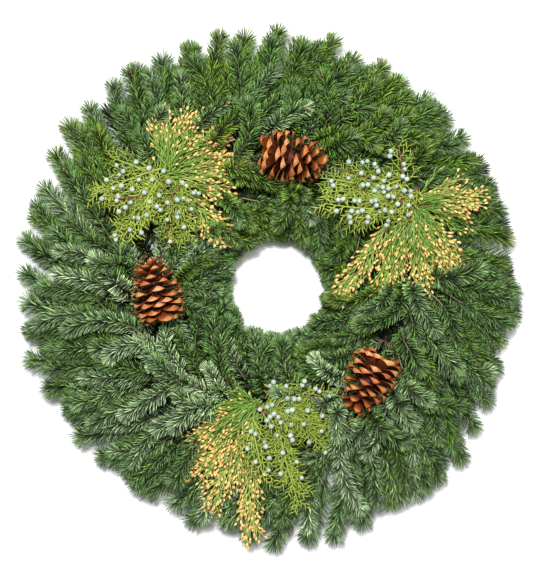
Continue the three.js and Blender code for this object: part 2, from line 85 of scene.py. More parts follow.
def evenCourse(points, count):
    # the same curve, at points an even distance apart
    steps = np.linalg.norm(np.diff(points, axis=0), axis=1)
    run = np.concatenate([[0], np.cumsum(steps)])
    at = np.linspace(0, run[-1], count)
    return np.stack([np.interp(at, run, points[:, k]) for k in range(3)], -1), run[-1]


def courseSpot(at, count):
    # the point before a share of a course's way, and how far on to the next one
    index = np.clip(at * (count - 1), 0, count - 1 - 0.001)
    low = index.astype(int)
    return low, (index - low)[:, None]


def courseFrames(points):
    forward = unit(np.gradient(points, axis=0))
    right = unit(np.cross(forward, [0, 0, 1]))
    return forward, right, np.cross(right, forward)


def templateFrom(bm):
    # corner places and triangles of a shape made with bmesh, ready to be copied many times
    bmesh.ops.triangulate(bm, faces=bm.faces[:])
    bm.verts.index_update()
    places = np.array([v.co[:] for v in bm.verts])
    triangles = np.array([[v.index for v in f.verts] for f in bm.faces])
    bm.free()
    return places, triangles


class Heap:
    # gathers copies of shapes, then becomes one mesh

    def __init__(self):
        self.places, self.triangles, self.tints, self.tones, self.count = [], [], [], [], 0

    def add(self, places, triangles, tint, tone):
        # places is copies x corners x 3; tint and tone are one number a copy or one a corner
        copies, corners = places.shape[:2]
        starts = self.count + corners * np.arange(copies)
        self.places.append(places.reshape(-1, 3))
        self.triangles.append((triangles[None] + starts[:, None, None]).reshape(-1, 3))
        for store, values in ((self.tints, tint), (self.tones, tone)):
            values = np.asarray(values, float)
            values = values[:, None] if values.ndim == 1 else values
            store.append(np.broadcast_to(values, (copies, corners)).reshape(-1))
        self.count += copies * corners

    def piece(self, name, material, crisp=None):
        mesh = bpy.data.meshes.new(name)
        places = np.concatenate(self.places) * mm
        places[:, 0] += ring["shift"] * mm
        triangles = np.concatenate(self.triangles)
        mesh.vertices.add(len(places))
        mesh.vertices.foreach_set("co", places.astype(np.float32).ravel())
        mesh.loops.add(triangles.size)
        mesh.loops.foreach_set("vertex_index", triangles.astype(np.int32).ravel())
        mesh.polygons.add(len(triangles))
        mesh.polygons.foreach_set("loop_start", np.arange(0, triangles.size, 3, dtype=np.int32))
        mesh.update(calc_edges=True)
        mesh.polygons.foreach_set("use_smooth", np.full(len(triangles), True))
        if crisp:
            mesh.set_sharp_from_angle(angle=math.radians(crisp))
        for key, store in (("tint", self.tints), ("tone", self.tones)):
            values = mesh.attributes.new(key, "FLOAT", "POINT")
            values.data.foreach_set("value", np.concatenate(store).astype(np.float32))
        mesh.materials.append(material)
        obj = bpy.data.objects.new(name, mesh)
        bpy.context.scene.collection.objects.link(obj)
        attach(obj, "root")
        return obj


class Value:
    # a socket that ordinary arithmetic works on

    def __init__(self, finish, socket):
        self.finish, self.socket = finish, socket

    def math(self, operation, a, b):
        links = {i: x.socket if isinstance(x, Value) else x for i, x in enumerate((a, b))}
        node = self.finish.node("ShaderNodeMath", {"operation": operation}, links)
        return Value(self.finish, node.outputs[0])

    def __add__(self, other):
        return self.math("ADD", self, other)

    def __sub__(self, other):
        return self.math("SUBTRACT", self, other)

    def __rsub__(self, other):
        return self.math("SUBTRACT", other, self)

    def __mul__(self, other):
        return self.math("MULTIPLY", self, other)

    def __pow__(self, other):
        return self.math("POWER", self, other)

    __radd__ = __add__
    __rmul__ = __mul__

    def clamped(self):
        return self.math("MINIMUM", self.math("MAXIMUM", self, 0), 1)


class Finish:
    def __init__(self, name, roughness=0.6, **constants):
        self.material = bpy.data.materials.new(name)
        self.material.use_nodes = True
        self.tree = self.material.node_tree
        self.shader = self.tree.nodes["Principled BSDF"]
        self.shader.inputs["Roughness"].default_value = roughness
        for key, value in constants.items():
            self.shader.inputs[key.replace("_", " ")].default_value = value

    def node(self, kind, settings=None, inputs=None):
        node = self.tree.nodes.new(kind)
        for key, value in (settings or {}).items():
            if key == "stops":
                ramp = node.color_ramp
                while len(ramp.elements) < len(value):
                    ramp.elements.new(0.5)
                for element, (place, colour) in zip(ramp.elements, value):
                    element.position = place
                    element.color = (*colour, 1)
            else:
                setattr(node, key, value)
        for key, value in (inputs or {}).items():
            value = value.socket if isinstance(value, Value) else value
            if isinstance(value, bpy.types.NodeSocket):
                self.tree.links.new(value, node.inputs[key])
            else:
                node.inputs[key].default_value = value
        return node

    def attribute(self, name):
        return Value(self, self.node("ShaderNodeAttribute", {"attribute_name": name}).outputs["Fac"])

    def place(self):
        return self.node("ShaderNodeTexCoord").outputs["Object"]

    def noise(self, scale, detail=3):
        inputs = {"Vector": self.place(), "Scale": scale, "Detail": detail}
        return Value(self, self.node("ShaderNodeTexNoise", inputs=inputs).outputs["Fac"])

    def ramp(self, value, stops):
        return self.node("ShaderNodeValToRGB", {"stops": stops}, {0: value}).outputs["Color"]

    def blend(self, share, a, b, kind="MIX"):
        def filled(colour):
            return colour if isinstance(colour, bpy.types.NodeSocket) else (*colour, 1)

        settings = {"data_type": "RGBA", "blend_type": kind}
        node = self.node("ShaderNodeMix", settings, {0: share, 6: filled(a), 7: filled(b)})
        return node.outputs[2]

    def colour(self, socket):
        self.tree.links.new(socket, self.shader.inputs["Base Color"])

    def rough(self, value):
        self.tree.links.new(value.socket, self.shader.inputs["Roughness"])

    def bump(self, height, strength, distance):
        inputs = {"Height": height, "Strength": strength, "Distance": distance}
        node = self.node("ShaderNodeBump", inputs=inputs)
        self.tree.links.new(node.outputs["Normal"], self.shader.inputs["Normal"])


# the needles on a shoot of fir
firNeedle = {
    "length": 15.8,
    "halfWidth": 1.08,
    "perMillimetre": 1.92,  # on the outer part of a shoot
    "rootPerMillimetre": 0.8,  # on the part that other shoots cover
    "baseLean": 75,  # degrees off the twig
    "tipLean": 64,
    "capNeedles": 26,  # they close a shoot's end
    "sideRaise": 9.0,  # degrees above the shoot's own plane
    "topRaise": (48, 26, 68),
    "rootRaise": (10, 50),
    "forwardCurl": 0.24,
    "upwardCurl": 0.12,
    "flatness": 0.6,
    "topLength": 0.8,
}


def needleTemplate(cuts):
    # a slim open cone along +Z, one unit long, cut across so that it can bend
    bm = bmesh.new()
    bmesh.ops.create_cone(bm, segments=3, radius1=1, radius2=0, depth=1, cap_ends=False)
    bmesh.ops.translate(bm, verts=bm.verts[:], vec=(0, 0, 0.5))
    for height in cuts:
        cut = {"plane_co": (0, 0, height), "plane_no": (0, 0, 1)}
        bmesh.ops.bisect_plane(bm, geom=bm.verts[:] + bm.edges[:] + bm.faces[:], **cut)
    bmesh.ops.remove_doubles(bm, verts=bm.verts[:], dist=1e-5)
    for v in bm.verts:
        width = np.interp(v.co.z, (0, 0.4, 0.88, 1), (0.6, 1, 0.9, 0)) / max(1 - v.co.z, 0.01)
        v.co.x *= width
        v.co.y *= width
    return templateFrom(bm)


fineNeedle = needleTemplate((0.4, 0.88))
plainNeedle = needleTemplate((0.72,))
random = np.random.default_rng(11)


def addNeedles(heap, points, length, tint, covered, template, thinned=1, shade=0.0, broad=1.0):
    # needles along both sides and over the top of a course, closing round at its end
    fine, run = evenCourse(points, coursePoints)
    forward, right, up = courseFrames(fine)
    half = firNeedle["halfWidth"] * broad

    def grow(at, rows, isCap, template):
        count = len(at)
        low, part = courseSpot(at, coursePoints)

        def along(values):
            return values[low] * (1 - part) + values[low + 1] * part

        base, ahead = along(fine), unit(along(forward))
        side, above = unit(along(right)), unit(along(up))
        high = rows + random.normal(0, 8, count)
        angle = np.where(np.arange(count) % 2 == 0, high, 180 - high)
        capAngle = np.resize((0, 180), count) + random.normal(0, 16, count)
        angle = np.radians(np.where(isCap, capAngle, angle))
        raised = np.clip(np.sin(angle), 0, 1)
        out = side * np.cos(angle)[:, None] + above * np.sin(angle)[:, None]
        lean = mix(firNeedle["baseLean"], firNeedle["tipLean"], at ** 2)
        lean = lean + random.normal(0, 2.8, count) - 20 * raised
        capLean = np.linspace(3, 82, count) + random.normal(0, 2, count)
        lean = np.radians(np.where(isCap, capLean, lean))
        heading = unit(out * np.sin(lean)[:, None] + ahead * np.cos(lean)[:, None])
        across = unit(np.cross(ahead, out))
        thick = np.cross(heading, across)
        nearTip = np.clip((at - 0.6) / 0.4, 0, 1)
        size = length * mix(1, 0.9, nearTip ** 1.6) * random.uniform(0.86, 1.06, count)
        size = size * mix(1, firNeedle["topLength"], raised)
        places, triangles = template
        z = places[:, 2]
        reach = size[:, None] * z[None]
        curl = ahead * firNeedle["forwardCurl"] + above * firNeedle["upwardCurl"]
        curl = curl[:, None] * (reach * z[None])[..., None]
        put = base[:, None] + heading[:, None] * reach[..., None] + curl
        put = put + across[:, None] * (places[None, :, 0:1] * half)
        put = put + thick[:, None] * (places[None, :, 1:2] * half * firNeedle["flatness"])
        # tone is painted light: painted shade at each needle's root and, through shade, in the under layers;
        # painted highlight toward the tip
        tone = shade + 0.06 + 0.62 * z[None] + random.normal(0, 0.2, count)[:, None]
        tints = np.clip(tint + random.normal(0, 0.06, count), 0, 0.8)
        heap.add(put, triangles, tints, np.clip(tone, 0, 1))

    def evenly(count):
        return covered + (1 - covered) * (np.arange(count) + 0.5 * random.random(count)) / count

    exposed = run * (1 - covered) * firNeedle["perMillimetre"] * thinned
    eachWay = int(exposed / 2)
    cap = firNeedle["capNeedles"]
    plain = np.zeros(eachWay, bool)
    grow(evenly(eachWay), np.full(eachWay, firNeedle["sideRaise"]), plain, template[0])
    grow(np.ones(cap), np.zeros(cap), np.ones(cap, bool), template[0])
    grow(evenly(eachWay), np.resize(firNeedle["topRaise"], eachWay), plain, template[1])
    roots = int(run * covered * firNeedle["rootPerMillimetre"])
    if roots:
        raises = np.resize(firNeedle["rootRaise"], roots)
        grow(covered * random.random(roots), raises, np.zeros(roots, bool), plainNeedle)


def tubeTemplate(sides, rings, closed=True):
    # a cylinder of radius one from 0 to 1 up Z, cut into rings so that it can bend
    bm = bmesh.new()
    bmesh.ops.create_cone(bm, segments=sides, radius1=1, radius2=1, depth=1, cap_ends=closed)
    bmesh.ops.translate(bm, verts=bm.verts[:], vec=(0, 0, 0.5))
    for i in range(1, rings):
        cut = {"plane_co": (0, 0, i / rings), "plane_no": (0, 0, 1)}
        bmesh.ops.bisect_plane(bm, geom=bm.verts[:] + bm.edges[:] + bm.faces[:], **cut)
    bmesh.ops.remove_doubles(bm, verts=bm.verts[:], dist=1e-5)
    return templateFrom(bm)


twigPlaces, twigTriangles = tubeTemplate(4, 5, False)
stemPlaces, stemTriangles = tubeTemplate(10, 12)


def addTwig(heap, points, radii, tint, thick=False, tone=0.5):
    places, triangles = (stemPlaces, stemTriangles) if thick else (twigPlaces, twigTriangles)
    fine, run = evenCourse(points, coursePoints)
    forward, right, up = courseFrames(fine)
    low, part = courseSpot(places[:, 2], coursePoints)
    centre = fine[low] * (1 - part) + fine[low + 1] * part
    radius = np.interp(places[:, 2], np.linspace(0, 1, len(radii)), radii)[:, None]
    put = centre + right[low] * places[:, :1] * radius + up[low] * places[:, 1:2] * radius
    heap.add(put[None], triangles, [tint], [tone])


def grainTemplate(sides, rings):
    bm = bmesh.new()
    bmesh.ops.create_uvsphere(bm, u_segments=sides, v_segments=rings, radius=1)
    return templateFrom(bm)


def layGrains(heap, centres, aims, radius, length, shape, tint):
    places, triangles = shape
    side = unit(np.cross(aims, [0.0, 0.1, 1.0]))
    over = np.cross(side, aims)
    size = random.uniform(0.85, 1.12, len(centres))[:, None, None]
    put = side[:, None] * places[None, :, :1] * radius + over[:, None] * places[None, :, 1:2] * radius
    put = put + aims[:, None] * places[None, :, 2:3] * length
    heap.add(centres[:, None] + put * size, triangles, tint, random.uniform(0.2, 0.9, len(centres)))


budShape = grainTemplate(5, 4)


# where the cones and the clusters sit
cones = [
    {"name": "top", "x": 22, "y": 162, "turn": -12, "bunch": 4},
    {"name": "left", "x": -153, "y": -4, "turn": 104, "bunch": 9},
    {"name": "right", "x": 114, "y": -121, "turn": -119, "bunch": 16},
]

clusters = [
    {
        "name": "right",
        "root": (164, 110),
        "juniper": {"fan": (95, 236), "reach": (74, 120, 100)},
        "cedar": {"fan": (-130, 30), "reach": (138, 106, 66)},
        "golden": (0.7, 1.2, 0.5),
    },
    {
        "name": "left",
        "root": (-143, 138),
        "juniper": {"fan": (146, 316), "reach": (90, 114, 94)},
        "cedar": {"fan": (-50, 108), "reach": (94, 84, 74)},
        "golden": (1.0, 1.1, 0.5),
    },
    {
        "name": "bottom",
        "root": (-19, -152),
        "juniper": {"fan": (-80, 4), "reach": (136, 120, 72)},
        "cedar": {"fan": (264, 165), "reach": (156, 104, 54)},
        "golden": (0.95, 0.85, 0.45),
    },
]


# how high fir may reach under an accent, and how far round it that holds
accentRoom = {
    "coneAlong": 52,
    "coneAcross": 40,
    "underCone": 44,
    "rootReach": 26,
    "underRoot": 50,
    "fanMargin": 10,
    "underFan": 52,
}


def fanReach(reach, share):
    return float(np.interp(share, (0, 0.5, 1), reach))


def roomUnder(x, y):
    # the height that fir may reach at a place before it meets an accent
    room = 999
    for cone in cones:
        turn = math.radians(cone["turn"])
        dx, dy = x - cone["x"], y - cone["y"]
        along = abs(dx * math.cos(turn) + dy * math.sin(turn)) / accentRoom["coneAlong"]
        across = abs(-dx * math.sin(turn) + dy * math.cos(turn)) / accentRoom["coneAcross"]
        if math.hypot(along, across) < 1:
            room = min(room, accentRoom["underCone"])
    for cluster in clusters:
        dx, dy = x - cluster["root"][0], y - cluster["root"][1]
        distance = math.hypot(dx, dy)
        if distance < accentRoom["rootReach"]:
            room = min(room, accentRoom["underRoot"])
        for kind in ("juniper", "cedar"):
            start, end = (math.radians(a) for a in cluster[kind]["fan"])
            off = math.atan2(dy, dx) - (start + end) / 2
            off = math.atan2(math.sin(off), math.cos(off))
            if abs(off) > abs(end - start) / 2 + 0.12:
                continue
            share = min(max(0.5 + off / (end - start), 0), 1)
            if distance < fanReach(cluster[kind]["reach"], share) - accentRoom["fanMargin"]:
                room = min(room, accentRoom["underFan"])
    return room


# Shoots of one bunch, layer by layer from the lowest. A lane is a share of the way to the next bunch.
outerLayers = [
    {
        "lanes": (-0.1, 0.23, 0.56), "tip": 0.86, "run": 0.9, "rise": (13, 18, 22),
        "covered": 0, "silver": 0.1, "under": True,
    },
    {
        "lanes": (-0.32, 0, 0.32), "tip": None, "run": 0.52, "rise": (16, 24, 30, 26),
        "covered": 0.45, "silver": 0.22, "full": 1.25, "wide": 1.28,
    },
    {
        "lanes": (-0.16, 0.16, 0.49), "tip": 0.95, "run": 0.4, "rise": (26, 32, 32),
        "covered": 0.35, "silver": 0.22, "stray": 5, "full": 1.15, "wide": 1.18,
    },
    {
        "lanes": (0.04, 0.36, 0.7), "tip": 0.88, "run": 0.4, "rise": (34, 42, 44),
        "covered": 0.35, "silver": 0.3, "stray": 14,
    },
    {
        "lanes": (-0.12, 0.3), "tip": 0.79, "run": 0.42, "rise": (42, 53, 54),
        "covered": 0.25, "silver": 0.36, "stray": 26,
    },
    {
        "lanes": (-0.2, 0.22), "tip": 0.66, "run": 0.44, "rise": (54, 64, 65),
        "covered": 0.22, "silver": 0.4, "stray": 32, "fine": True,
    },
    {
        "lanes": (0, 0.5), "tip": 0.47, "run": 0.5, "rise": (68, 78, 77),
        "covered": 0.05, "silver": 0.45, "stray": 34, "fine": True,
    },
]
innerLayers = [
    {
        "lanes": (0.1, 0.43, 0.76), "tip": 0.74, "run": 0.8, "rise": (13, 18, 22),
        "covered": 0, "silver": 0.1, "under": True,
    },
    {
        "lanes": (0, 0.5), "tip": 0.95, "run": 0.8, "rise": (16, 24, 28, 26),
        "covered": 0.45, "silver": 0.25,
    },
    {
        "lanes": (0.25,), "tip": 0.82, "run": 0.5, "rise": (36, 45, 44),
        "covered": 0.2, "silver": 0.26, "stray": 12,
    },
    {
        "lanes": (0.4,), "tip": 0.56, "run": 0.5, "rise": (56, 63, 60),
        "covered": 0.15, "silver": 0.3, "stray": 18,
    },
    {
        "lanes": (-0.1,), "tip": 0.28, "run": 0.45, "rise": (70, 76, 74),
        "covered": 0, "silver": 0.36, "stray": 25, "fine": True,
    },
]
tucked = {"shoots": 9, "reach": 58, "rise": (34, 42, 50)}
shootForm = {
    "laneWander": 0.1,
    "tipWander": 0.06,
    "fan": 0.3,
    "heightWander": 4,
    "wood": (1.6, 0.8),
    "budded": 0.2,
    "points": 24,
    "mostStray": 32,  # degrees
    "clearance": 12,  # kept below an accent
    "innerLength": 0.86,
    "crownPaler": -0.18,
}
underNeedles = {"length": 1.55, "thinned": 0.42, "shade": -0.33, "broad": 1.9}
rimOutline = {"oval": (8, 128), "lobes": (5, 156), "ragged": 10, "inset": 18}


def rimReach(angle):
    (oval, ovalTurn), (lobes, lobeTurn) = rimOutline["oval"], rimOutline["lobes"]
    oval = oval * math.cos(2 * angle + math.radians(ovalTurn))
    lobes = lobes * math.cos(3 * angle - math.radians(lobeTurn))
    return rimTier["to"] - ring["shift"] * math.cos(angle) + oval + lobes


def rimShare(bunch, lane):
    tipAngle = clampAngle(bunch) + lane * pitch - math.radians(rimTier["swirl"])
    reach = rimReach(tipAngle) + rimOutline["ragged"] * vary(bunch * 3 + lane, 1) - rimOutline["inset"]
    return math.sqrt((reach - rimTier["from"]) / (rimTier["to"] - rimTier["from"]))


def addShoot(heap, tier, bunch, layer, lane):
    rim = layer["tip"] is None
    wander = [0 if rim else float(v) for v in random.uniform(-1, 1, 4)]
    furthest = rimShare(bunch, lane)
    tip = furthest if rim else min(layer["tip"] + shootForm["tipWander"] * wander[0], furthest - 0.02)
    count, most = shootForm["points"], shootForm["mostStray"]
    shares = np.linspace(tip - layer["run"], tip, count)
    fan = shootForm["fan"] * wander[1] * np.linspace(-0.3, 1, count)
    rise = np.interp(shares, np.linspace(shares[0], tip, len(layer["rise"])), layer["rise"])
    rise = rise + shootForm["heightWander"] * wander[2]
    points = tierPoints(tier, bunch, lane + shootForm["laneWander"] * wander[3] + fan, shares, rise)
    stray = np.radians(np.clip(random.normal(0, layer.get("stray", 0)), -most, most))
    turn = stray * np.linspace(0, 1, count) ** 1.5
    offX, offY = (points[:, :2] - points[0, :2]).T
    turnedX = offX * np.cos(turn) - offY * np.sin(turn)
    turnedY = offX * np.sin(turn) + offY * np.cos(turn)
    points[:, :2] = points[0, :2] + np.stack([turnedX, turnedY], -1)
    points[:, :2] *= np.maximum(1, openingRadius / np.hypot(points[:, 0], points[:, 1]))[:, None]
    room = np.array([roomUnder(x, y) for x, y, z in points]) - shootForm["clearance"]
    if not rim and np.mean(points[8:, 2] > room[8:]) > 0.6 and layer["tip"] < 0.8:
        return  # it would lie out of sight under an accent
    points[:, 2] = np.minimum(points[:, 2], room)
    points[:, 2] = np.convolve(np.pad(points[:, 2], 3, mode="edge"), np.ones(7) / 7, mode="valid")
    addTwig(heap, points, shootForm["wood"], 0.9)
    paler = shootForm["crownPaler"] * math.sin(clampAngle(bunch))
    silver = float(np.clip(layer["silver"] + paler + random.normal(0, 0.2), 0, 0.8))
    tierLength = shootForm["innerLength"] if tier is innerTier else 1
    length = firNeedle["length"] * float(random.uniform(0.9, 1.08)) * tierLength * layer.get("wide", 1)
    if layer.get("under"):
        length, shape = length * underNeedles["length"], (plainNeedle, plainNeedle)
        rest = [underNeedles[key] for key in ("thinned", "shade", "broad")]
        addNeedles(heap, points, length, silver, layer["covered"], shape, *rest)
    else:
        fine = fineNeedle if layer.get("fine") else plainNeedle
        full = layer.get("full", 1)
        addNeedles(heap, points, length, silver, layer["covered"], (fine, plainNeedle), full)
    if random.random() < shootForm["budded"]:
        end, way = points[-1], unit(points[-1] - points[-2])
        spots = end + way * 2 + random.normal(0, 1.4, (3, 3))
        layGrains(heap, spots, np.tile(way, (3, 1)), 1.3, 2.2, budShape, np.full(3, 1.0))


def tuckRound(heap, cone):
    # short shoots that close in round a cone
    for k in range(tucked["shoots"]):
        angle = 2 * math.pi * (k + 0.6 * float(random.random())) / tucked["shoots"]
        heading = np.array([math.cos(angle), math.sin(angle)])
        start = np.array([cone["x"], cone["y"]]) + 14 * heading
        reach = np.linspace(0, tucked["reach"] * float(random.uniform(0.85, 1.15)), 12)
        side = np.array([-heading[1], heading[0]]) * float(random.normal(0, 0.003))
        flat = start + np.outer(reach, heading) + np.outer(reach ** 2, side)
        points = np.concatenate([flat, np.interp(reach, (0, 30, 80), tucked["rise"])[:, None]], 1)
        addTwig(heap, points, (1.2, 0.8), 0.9)
        silver = float(random.uniform(0.3, 0.8))
        addNeedles(heap, points, firNeedle["length"] * 0.85, silver, 0.35, (plainNeedle, plainNeedle))


def layBunch(bunch, tier, layers, stemEnd):
    heap = Heap()
    start = -ring["cutEnd"] / tier["swirl"]
    stem = tierPoints(tier, bunch, 0, np.linspace(start, stemEnd, 16), ring["stemHeight"])
    addTwig(heap, stem, (4, 3.2), 1, thick=True)
    for layer in layers:
        for lane in layer["lanes"]:
            addShoot(heap, tier, bunch, layer, lane)
    for cone in cones:
        if tier is rimTier and cone["bunch"] == bunch:
            tuckRound(heap, cone)
    return heap


def firFinish():
    fir = Finish("firNeedles", 0.38)
    tint = fir.attribute("tint")
    tone = fir.attribute("tone")
    stops = [
        (0, (0.085, 0.155, 0.012)),
        (0.12, (0.055, 0.125, 0.02)),
        (0.4, (0.078, 0.155, 0.045)),
        (0.8, (0.23, 0.325, 0.2)),
        (0.9, (0.08, 0.08, 0.03)),
        (1, (0.2, 0.075, 0.03)),
    ]
    green = fir.ramp(tint, stops)
    # lit is painted light: painted shade at the needle roots and in the under layers, painted highlight at
    # the tips
    lit = fir.blend(tone ** 1.75, (0.04, 0.055, 0.03), (3.75, 3.6, 3.2))  # dark roots, bright tips
    patches = fir.blend(fir.noise(14), (0.8, 0.9, 0.85), (1.2, 1.1, 1.1))
    fir.colour(fir.blend(1.0, fir.blend(1.0, green, lit, "MULTIPLY"), patches, "MULTIPLY"))
    return fir.material


# name, tier, layers, and the share of the way at which the woody stem ends
firTiers = (
    ("outer", rimTier, outerLayers, 0.3),
    ("inner", innerTier, innerLayers, 0.12),
)
firMaterial = firFinish()
triangleTotal = 0
for bunch in range(ring["bunches"]):
    for kind, tier, layers, stemEnd in firTiers:
        piece = layBunch(bunch, tier, layers, stemEnd).piece(f"{kind}Fir{bunch + 1:02d}", firMaterial)
        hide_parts(f"fir_{kind}_{bunch + 1:02d}")
        triangleTotal += len(piece.data.polygons)
print("fir laid,", triangleTotal, "triangles")


coneForm = {
    "length": 92,
    "height": 68.8,
    "scales": 72,
    "goldenTurn": 137.508,
    "leanFirst": -40,  # degrees off square to the core
    "leanLast": 36,
    "profile": ((0, 21), (0.14, 31), (0.34, 33.5), (0.6, 29.5), (0.82, 22.5), (1, 15)),
    "scaleWidth": 18.8,
    "widthAlong": ((0, 0.85), (0.1, 1), (0.5, 0.95), (1, 0.38)),
    "coreRadii": (6, 11, 10, 6, 3),
    "prickle": (0.9, 0.9, 2.6),
}


def scaleTemplate():
    # x across -1..1, y along 0..1 from root to rim, z thickness; the rim ends in a lozenge
    bm = bmesh.new()
    bmesh.ops.create_grid(bm, x_segments=4, y_segments=6, size=1)
    for v in bm.verts:
        v.co.y = np.interp(v.co.y, np.linspace(-1, 1, 7), (0, 0.3, 0.55, 0.73, 0.86, 0.95, 1))
    lifted = bmesh.ops.extrude_face_region(bm, geom=bm.faces[:])
    upper = {g for g in lifted["geom"] if isinstance(g, bmesh.types.BMVert)}
    for v in bm.verts:
        across, along = v.co.x, v.co.y
        rim = (1 - abs(across)) ** 0.8
        v.co.x = across * np.interp(along, (0, 0.3, 0.73, 0.86, 0.95, 1), (0.45, 0.72, 0.97, 1, 0.98, 0.9))
        v.co.z = 0.16 * along * (1 - across * across)
        v.co.y = along - 0.1 * across * across * (along > 0.8)
        if v not in upper:
            v.co.z -= 0.05 + rim * np.interp(along, (0, 0.73, 0.86, 0.95, 1), (0.04, 0.08, 0.24, 0.54, 0.66))
            v.co.y -= 0.05 * rim * (along > 0.99)
    bmesh.ops.recalc_face_normals(bm, faces=bm.faces[:])
    return templateFrom(bm)


def layCone(cone):
    heap = Heap()
    places, triangles = scaleTemplate()
    turn = math.radians(cone["turn"])
    axis = np.array([math.cos(turn), math.sin(turn), 0])
    level = np.array([-math.sin(turn), math.cos(turn), 0])
    upward = np.array([0, 0, 1.0])
    middle = np.array([cone["x"], cone["y"], coneForm["height"]])
    butt = middle - axis * coneForm["length"] / 2
    stops, radii = zip(*coneForm["profile"])
    core = np.linspace(0, 1, 12) * (coneForm["length"] - 30) + 12
    # the core takes the dark end of the scale colour, painted shade deep between the scales
    addTwig(heap, butt + axis * core[:, None], coneForm["coreRadii"], 0, thick=True, tone=0.3)
    for k in range(coneForm["scales"]):
        share = 1 - (1 - (k + 0.5) / coneForm["scales"]) ** 0.8
        around = math.radians(coneForm["goldenTurn"] * k)
        lean = mix(coneForm["leanFirst"], coneForm["leanLast"], share)
        lean = math.radians(lean + float(random.normal(0, 4.5)))
        out = level * math.cos(around) + upward * math.sin(around)
        tangent = np.cross(axis, out)
        heading = out * math.cos(lean) + axis * math.sin(lean)
        normal = np.cross(tangent, heading)
        reach = float(np.interp(share, stops, radii))
        length = (reach - 3) / max(math.cos(lean), 0.55)
        root = butt + axis * (18 + share * (coneForm["length"] - 32)) + out * 3
        width = coneForm["scaleWidth"] / 2 * float(np.interp(share, *zip(*coneForm["widthAlong"])))
        width = width * float(random.uniform(0.88, 1.1))
        put = root + heading * places[:, 1:2] * length + tangent * places[:, :1] * width
        put = put + normal * places[:, 2:3] * width
        put = put + normal * (places[:, 1:2] ** 4) * width * -0.25
        outer = 1 - np.abs(places[:, 0])
        heap.add(put[None], triangles, outer[None], places[None, :, 1] + float(random.normal(-0.02, 0.05)))
        tip = root + heading * (length - 1) - normal * width * 0.42
        spike = plainNeedle[0] * np.array(coneForm["prickle"])
        put = tip + tangent * spike[:, :1] + normal * spike[:, 1:2]
        put = put + (heading * 0.5 - normal * 0.8) * spike[:, 2:3]
        heap.add(put[None], plainNeedle[1], [0.0], [0.7])
    return heap


def coneFinish():
    bark = Finish("coneScales", 0.55, Specular_IOR_Level=0.25)
    # colour runs along each scale from root to rim: the red-brown is the scale's own, the near black toward
    # the root is painted shade between the scales
    along = (bark.attribute("tone") + (bark.noise(110) - 0.5) * 0.3).clamped()
    stops = [
        (0, (0.012, 0.003, 0.002)),
        (0.45, (0.12, 0.027, 0.008)),
        (0.78, (0.27, 0.066, 0.015)),
        (0.92, (0.4, 0.12, 0.027)),
        (1, (0.52, 0.21, 0.06)),
    ]
    pale = bark.attribute("tint") ** 3 * along ** 20
    bark.colour(bark.blend(pale.clamped() * 0.6, bark.ramp(along, stops), (0.62, 0.37, 0.16)))
    bark.bump(bark.noise(300).socket, 0.5, 0.0008)
    return bark.material


coneMaterial = coneFinish()
for cone in cones:
    piece = layCone(cone).piece(f"{cone['name']}PineCone", coneMaterial, crisp=38)
    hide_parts(f"pine_cone_{cone['name']}")
    triangleTotal += len(piece.data.polygons)
print("pine cones laid,", triangleTotal, "triangles so far")


juniperForm = {
    "sprays": 15,
    "root": 66,
    "tip": 61,
    "station": 6,
    "branch": (27, 14),
    "sweep": 46,
    "twiglets": 5,
    "twiglet": 9.5,
    "radius": 0.95,
    "blunt": 0.55,
    "scatter": 30,  # of the places that sprays start from
    "sites": 36,
    "twins": 0.4,  # share of the sites that have two berries
    "berry": 3.3,
    "twinGap": 6.4,
    "outermost": 0.9,  # share of the forks, from the middle, that may bear berries
}
cedarForm = {
    "sprays": 12,
    "root": 56,
    "tip": 51,
    "station": 5,
    "branch": (42, 20),
    "sweep": 20,
    "twiglets": 6,
    "twiglet": 12,
    "radius": 0.95,
    "blunt": 0.5,
    "scatter": 12,
    "pollen": (1.7, 6),  # radius and length of a pollen cone
}
branchCord = tubeTemplate(4, 3)
twigletCord = tubeTemplate(3, 2)


def addCords(heap, cord, starts, headings, bends, lengths, radii, tint, tone, blunt, flat=0.8):
    # tapered cords, each bending evenly along its way
    cordPlaces, cordTriangles = cord
    z = cordPlaces[:, 2]
    taper = np.interp(z, (0, 0.5, 1), (0.9, 1, blunt))
    side = unit(np.cross(headings, [0, 0, 1.0]))
    over = np.cross(side, headings)
    reach = lengths[:, None] * z[None]
    places = starts[:, None] + headings[:, None] * reach[..., None]
    places = places + bends[:, None] * (reach * z[None])[..., None]
    wide = (radii[:, None] * (taper * cordPlaces[:, 0])[None])[..., None]
    high = (radii[:, None] * (taper * cordPlaces[:, 1])[None])[..., None] * flat
    heap.add(places + side[:, None] * wide + over[:, None] * high, cordTriangles, tint, tone)
    return starts + headings * lengths[:, None] + bends * lengths[:, None]


def bendTo(starts, headings, bends, lengths, share):
    reach = (lengths * share)[:, None]
    return starts + headings * reach + bends * reach * share


def tilt(vectors, degrees):
    # turns level headings by so many degrees each
    a = np.radians(degrees)
    turned = vectors.copy()
    turned[:, 0] = vectors[:, 0] * np.cos(a) - vectors[:, 1] * np.sin(a)
    turned[:, 1] = vectors[:, 0] * np.sin(a) + vectors[:, 1] * np.cos(a)
    return turned


def sprayCourse(root, angle, reach, rootHeight, tipHeight, lift):
    heading = np.array([math.cos(angle), math.sin(angle)])
    side = np.array([-heading[1], heading[0]])
    t = np.linspace(0, 1, 20)
    drift = float(random.normal(0, 0.09)) * reach
    flat = np.array(root) + np.outer(t * reach, heading) + np.outer(drift * t * t, side)
    height = mix(rootHeight, tipHeight, t) + lift * np.sin(math.pi * t)
    return np.concatenate([flat, height[:, None]], 1)


